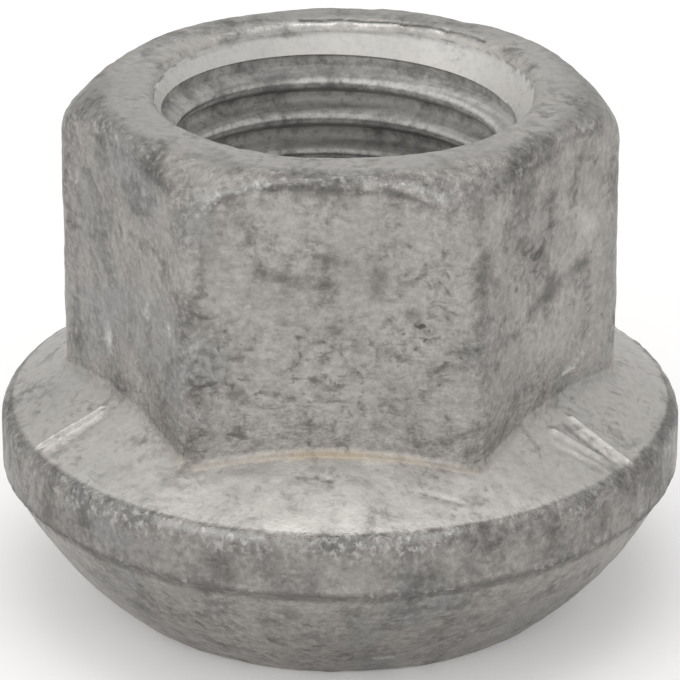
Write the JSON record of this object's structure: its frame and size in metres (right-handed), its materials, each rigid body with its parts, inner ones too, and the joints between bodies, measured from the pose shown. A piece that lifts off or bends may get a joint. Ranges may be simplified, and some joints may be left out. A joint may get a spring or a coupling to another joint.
{
  "type": "wheel nut",
  "caption": "Forged hexagon wheel nut with a sloping collar, a short upright rim and a ball seat around a threaded through hole.",
  "frame": {"origin": "on the thread axis, in the plane of the narrow face under the ball seat", "axes": "+Z along the thread axis, from the ball seat up to the top of the hexagon; -Y faces one side of the hexagon"},
  "size_m": [0.0266, 0.0266, 0.0205],
  "materials": {
    "zinc_coated_steel": "matt zinc coating on forged steel"
  },
  "bodies": {
    "root": {"wheel_nut": "zinc_coated_steel"}
  },
  "joints": []
}
